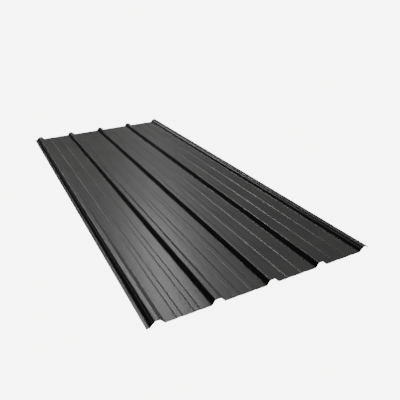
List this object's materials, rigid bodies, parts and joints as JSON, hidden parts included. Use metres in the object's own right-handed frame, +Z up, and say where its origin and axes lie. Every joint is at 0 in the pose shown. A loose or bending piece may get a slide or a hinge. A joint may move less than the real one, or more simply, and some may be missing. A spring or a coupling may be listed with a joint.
{
  "type": "ribbed steel roofing sheet",
  "caption": "Roll-formed steel roofing sheet with tall trapezoid ribs, low stiffening ribs in its pans, a flat lip along one side and a short leg along the other.",
  "frame": {"origin": "on the floor, under the middle of the sheet's outline", "axes": "+X across the ribs, from the lip to the leg; +Y along the ribs; +Z up, from pan to crown"},
  "size_m": [0.972, 2.4384, 0.0195],
  "materials": {
    "coated_steel": "charcoal coil-coated paint, semi-gloss"
  },
  "bodies": {
    "root": {"ribbed_sheet": "coated_steel"}
  },
  "joints": []
}
